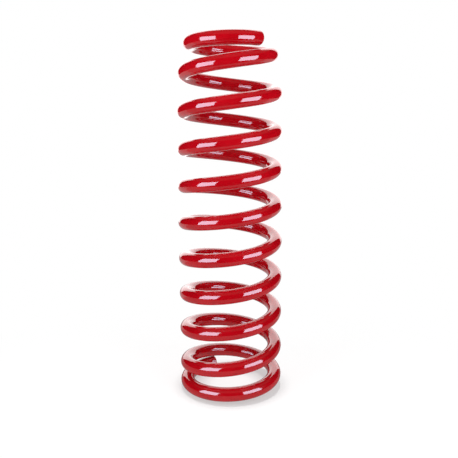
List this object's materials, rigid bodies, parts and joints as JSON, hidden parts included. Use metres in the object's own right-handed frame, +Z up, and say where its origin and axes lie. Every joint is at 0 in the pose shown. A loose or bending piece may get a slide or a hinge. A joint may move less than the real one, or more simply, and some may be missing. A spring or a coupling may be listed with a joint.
{
  "type": "coil spring",
  "caption": "Tall right-hand helical compression spring of round red-coated bar, with closed unground ends and a drawn-in upper tip.",
  "frame": {"origin": "on the coil axis, at the level where the lower end coil rests on its seat", "axes": "+Z up along the coil axis from the lower end coil to the upper one, -Y to the front and +X to the right; the upper tip ends 50 degrees round from -Y towards +X"},
  "size_m": [0.105, 0.105, 0.3609],
  "materials": {
    "red_powder_coat": "gloss red powder coat over peened spring steel"
  },
  "bodies": {
    "lower_end_coil": {"lower_tip": "red_powder_coat", "coil_01_left": "red_powder_coat", "coil_01_front": "red_powder_coat", "coil_01_right": "red_powder_coat", "coil_01_back": "red_powder_coat"},
    "coil_02_left": {"coil_02_left": "red_powder_coat"},
    "coil_02_front": {"coil_02_front": "red_powder_coat"},
    "coil_02_right": {"coil_02_right": "red_powder_coat"},
    "coil_02_back": {"coil_02_back": "red_powder_coat"},
    "coil_03_left": {"coil_03_left": "red_powder_coat"},
    "coil_03_front": {"coil_03_front": "red_powder_coat"},
    "coil_03_right": {"coil_03_right": "red_powder_coat"},
    "coil_03_back": {"coil_03_back": "red_powder_coat"},
    "coil_04_left": {"coil_04_left": "red_powder_coat"},
    "coil_04_front": {"coil_04_front": "red_powder_coat"},
    "coil_04_right": {"coil_04_right": "red_powder_coat"},
    "coil_04_back": {"coil_04_back": "red_powder_coat"},
    "coil_05_left": {"coil_05_left": "red_powder_coat"},
    "coil_05_front": {"coil_05_front": "red_powder_coat"},
    "coil_05_right": {"coil_05_right": "red_powder_coat"},
    "coil_05_back": {"coil_05_back": "red_powder_coat"},
    "coil_06_left": {"coil_06_left": "red_powder_coat"},
    "coil_06_front": {"coil_06_front": "red_powder_coat"},
    "coil_06_right": {"coil_06_right": "red_powder_coat"},
    "coil_06_back": {"coil_06_back": "red_powder_coat"},
    "coil_07_left": {"coil_07_left": "red_powder_coat"},
    "coil_07_front": {"coil_07_front": "red_powder_coat"},
    "coil_07_right": {"coil_07_right": "red_powder_coat"},
    "coil_07_back": {"coil_07_back": "red_powder_coat"},
    "coil_08_left": {"coil_08_left": "red_powder_coat"},
    "coil_08_front": {"coil_08_front": "red_powder_coat"},
    "coil_08_right": {"coil_08_right": "red_powder_coat"},
    "coil_08_back": {"coil_08_back": "red_powder_coat"},
    "coil_09_left": {"coil_09_left": "red_powder_coat"},
    "coil_09_front": {"coil_09_front": "red_powder_coat"},
    "coil_09_right": {"coil_09_right": "red_powder_coat"},
    "coil_09_back": {"coil_09_back": "red_powder_coat"},
    "coil_10_left": {"coil_10_left": "red_powder_coat"},
    "coil_10_front": {"coil_10_front": "red_powder_coat"},
    "upper_end_coil": {"coil_10_right": "red_powder_coat", "coil_10_back": "red_powder_coat", "coil_11_left": "red_powder_coat", "coil_11_front": "red_powder_coat"}
  },
  "joints": [
    {"name": "compression", "type": "slide", "parent": "lower_end_coil", "child": "upper_end_coil", "axis": [0, 0, -1], "range_m": [0, 0.181], "stiffness_N_per_m": 57000},
    {"name": "coil_02_left_drop", "type": "slide", "parent": "lower_end_coil", "child": "coil_02_left", "axis": [0, 0, -1], "range_m": [0, 0.0012]},
    {"name": "coil_02_front_drop", "type": "slide", "parent": "lower_end_coil", "child": "coil_02_front", "axis": [0, 0, -1], "range_m": [0, 0.0066]},
    {"name": "coil_02_right_drop", "type": "slide", "parent": "lower_end_coil", "child": "coil_02_right", "axis": [0, 0, -1], "range_m": [0, 0.012]},
    {"name": "coil_02_back_drop", "type": "slide", "parent": "lower_end_coil", "child": "coil_02_back", "axis": [0, 0, -1], "range_m": [0, 0.0174]},
    {"name": "coil_03_left_drop", "type": "slide", "parent": "lower_end_coil", "child": "coil_03_left", "axis": [0, 0, -1], "range_m": [0, 0.0228]},
    {"name": "coil_03_front_drop", "type": "slide", "parent": "lower_end_coil", "child": "coil_03_front", "axis": [0, 0, -1], "range_m": [0, 0.0282]},
    {"name": "coil_03_right_drop", "type": "slide", "parent": "lower_end_coil", "child": "coil_03_right", "axis": [0, 0, -1], "range_m": [0, 0.0336]},
    {"name": "coil_03_back_drop", "type": "slide", "parent": "lower_end_coil", "child": "coil_03_back", "axis": [0, 0, -1], "range_m": [0, 0.039]},
    {"name": "coil_04_left_drop", "type": "slide", "parent": "lower_end_coil", "child": "coil_04_left", "axis": [0, 0, -1], "range_m": [0, 0.0444]},
    {"name": "coil_04_front_drop", "type": "slide", "parent": "lower_end_coil", "child": "coil_04_front", "axis": [0, 0, -1], "range_m": [0, 0.0498]},
    {"name": "coil_04_right_drop", "type": "slide", "parent": "lower_end_coil", "child": "coil_04_right", "axis": [0, 0, -1], "range_m": [0, 0.0552]},
    {"name": "coil_04_back_drop", "type": "slide", "parent": "lower_end_coil", "child": "coil_04_back", "axis": [0, 0, -1], "range_m": [0, 0.0606]},
    {"name": "coil_05_left_drop", "type": "slide", "parent": "lower_end_coil", "child": "coil_05_left", "axis": [0, 0, -1], "range_m": [0, 0.066]},
    {"name": "coil_05_front_drop", "type": "slide", "parent": "lower_end_coil", "child": "coil_05_front", "axis": [0, 0, -1], "range_m": [0, 0.0714]},
    {"name": "coil_05_right_drop", "type": "slide", "parent": "lower_end_coil", "child": "coil_05_right", "axis": [0, 0, -1], "range_m": [0, 0.0768]},
    {"name": "coil_05_back_drop", "type": "slide", "parent": "lower_end_coil", "child": "coil_05_back", "axis": [0, 0, -1], "range_m": [0, 0.0822]},
    {"name": "coil_06_left_drop", "type": "slide", "parent": "lower_end_coil", "child": "coil_06_left", "axis": [0, 0, -1], "range_m": [0, 0.0876]},
    {"name": "coil_06_front_drop", "type": "slide", "parent": "lower_end_coil", "child": "coil_06_front", "axis": [0, 0, -1], "range_m": [0, 0.093]},
    {"name": "coil_06_right_drop", "type": "slide", "parent": "lower_end_coil", "child": "coil_06_right", "axis": [0, 0, -1], "range_m": [0, 0.0984]},
    {"name": "coil_06_back_drop", "type": "slide", "parent": "lower_end_coil", "child": "coil_06_back", "axis": [0, 0, -1], "range_m": [0, 0.1038]},
    {"name": "coil_07_left_drop", "type": "slide", "parent": "lower_end_coil", "child": "coil_07_left", "axis": [0, 0, -1], "range_m": [0, 0.1092]},
    {"name": "coil_07_front_drop", "type": "slide", "parent": "lower_end_coil", "child": "coil_07_front", "axis": [0, 0, -1], "range_m": [0, 0.1146]},
    {"name": "coil_07_right_drop", "type": "slide", "parent": "lower_end_coil", "child": "coil_07_right", "axis": [0, 0, -1], "range_m": [0, 0.12]},
    {"name": "coil_07_back_drop", "type": "slide", "parent": "lower_end_coil", "child": "coil_07_back", "axis": [0, 0, -1], "range_m": [0, 0.1254]},
    {"name": "coil_08_left_drop", "type": "slide", "parent": "lower_end_coil", "child": "coil_08_left", "axis": [0, 0, -1], "range_m": [0, 0.1308]},
    {"name": "coil_08_front_drop", "type": "slide", "parent": "lower_end_coil", "child": "coil_08_front", "axis": [0, 0, -1], "range_m": [0, 0.1362]},
    {"name": "coil_08_right_drop", "type": "slide", "parent": "lower_end_coil", "child": "coil_08_right", "axis": [0, 0, -1], "range_m": [0, 0.1416]},
    {"name": "coil_08_back_drop", "type": "slide", "parent": "lower_end_coil", "child": "coil_08_back", "axis": [0, 0, -1], "range_m": [0, 0.147]},
    {"name": "coil_09_left_drop", "type": "slide", "parent": "lower_end_coil", "child": "coil_09_left", "axis": [0, 0, -1], "range_m": [0, 0.1524]},
    {"name": "coil_09_front_drop", "type": "slide", "parent": "lower_end_coil", "child": "coil_09_front", "axis": [0, 0, -1], "range_m": [0, 0.1578]},
    {"name": "coil_09_right_drop", "type": "slide", "parent": "lower_end_coil", "child": "coil_09_right", "axis": [0, 0, -1], "range_m": [0, 0.1632]},
    {"name": "coil_09_back_drop", "type": "slide", "parent": "lower_end_coil", "child": "coil_09_back", "axis": [0, 0, -1], "range_m": [0, 0.1686]},
    {"name": "coil_10_left_drop", "type": "slide", "parent": "lower_end_coil", "child": "coil_10_left", "axis": [0, 0, -1], "range_m": [0, 0.174]},
    {"name": "coil_10_front_drop", "type": "slide", "parent": "lower_end_coil", "child": "coil_10_front", "axis": [0, 0, -1], "range_m": [0, 0.1794]}
  ],
  "couplings": [
    {"joint": "coil_02_left_drop", "follows": "compression", "ratio": 0.0066298},
    {"joint": "coil_02_front_drop", "follows": "compression", "ratio": 0.036464},
    {"joint": "coil_02_right_drop", "follows": "compression", "ratio": 0.066298},
    {"joint": "coil_02_back_drop", "follows": "compression", "ratio": 0.096133},
    {"joint": "coil_03_left_drop", "follows": "compression", "ratio": 0.12597},
    {"joint": "coil_03_front_drop", "follows": "compression", "ratio": 0.1558},
    {"joint": "coil_03_right_drop", "follows": "compression", "ratio": 0.18564},
    {"joint": "coil_03_back_drop", "follows": "compression", "ratio": 0.21547},
    {"joint": "coil_04_left_drop", "follows": "compression", "ratio": 0.2453},
    {"joint": "coil_04_front_drop", "follows": "compression", "ratio": 0.27514},
    {"joint": "coil_04_right_drop", "follows": "compression", "ratio": 0.30497},
    {"joint": "coil_04_back_drop", "follows": "compression", "ratio": 0.33481},
    {"joint": "coil_05_left_drop", "follows": "compression", "ratio": 0.36464},
    {"joint": "coil_05_front_drop", "follows": "compression", "ratio": 0.39448},
    {"joint": "coil_05_right_drop", "follows": "compression", "ratio": 0.42431},
    {"joint": "coil_05_back_drop", "follows": "compression", "ratio": 0.45414},
    {"joint": "coil_06_left_drop", "follows": "compression", "ratio": 0.48398},
    {"joint": "coil_06_front_drop", "follows": "compression", "ratio": 0.51381},
    {"joint": "coil_06_right_drop", "follows": "compression", "ratio": 0.54365},
    {"joint": "coil_06_back_drop", "follows": "compression", "ratio": 0.57348},
    {"joint": "coil_07_left_drop", "follows": "compression", "ratio": 0.60331},
    {"joint": "coil_07_front_drop", "follows": "compression", "ratio": 0.63315},
    {"joint": "coil_07_right_drop", "follows": "compression", "ratio": 0.66298},
    {"joint": "coil_07_back_drop", "follows": "compression", "ratio": 0.69282},
    {"joint": "coil_08_left_drop", "follows": "compression", "ratio": 0.72265},
    {"joint": "coil_08_front_drop", "follows": "compression", "ratio": 0.75249},
    {"joint": "coil_08_right_drop", "follows": "compression", "ratio": 0.78232},
    {"joint": "coil_08_back_drop", "follows": "compression", "ratio": 0.81215},
    {"joint": "coil_09_left_drop", "follows": "compression", "ratio": 0.84199},
    {"joint": "coil_09_front_drop", "follows": "compression", "ratio": 0.87182},
    {"joint": "coil_09_right_drop", "follows": "compression", "ratio": 0.90166},
    {"joint": "coil_09_back_drop", "follows": "compression", "ratio": 0.93149},
    {"joint": "coil_10_left_drop", "follows": "compression", "ratio": 0.96133},
    {"joint": "coil_10_front_drop", "follows": "compression", "ratio": 0.99116}
  ]
}
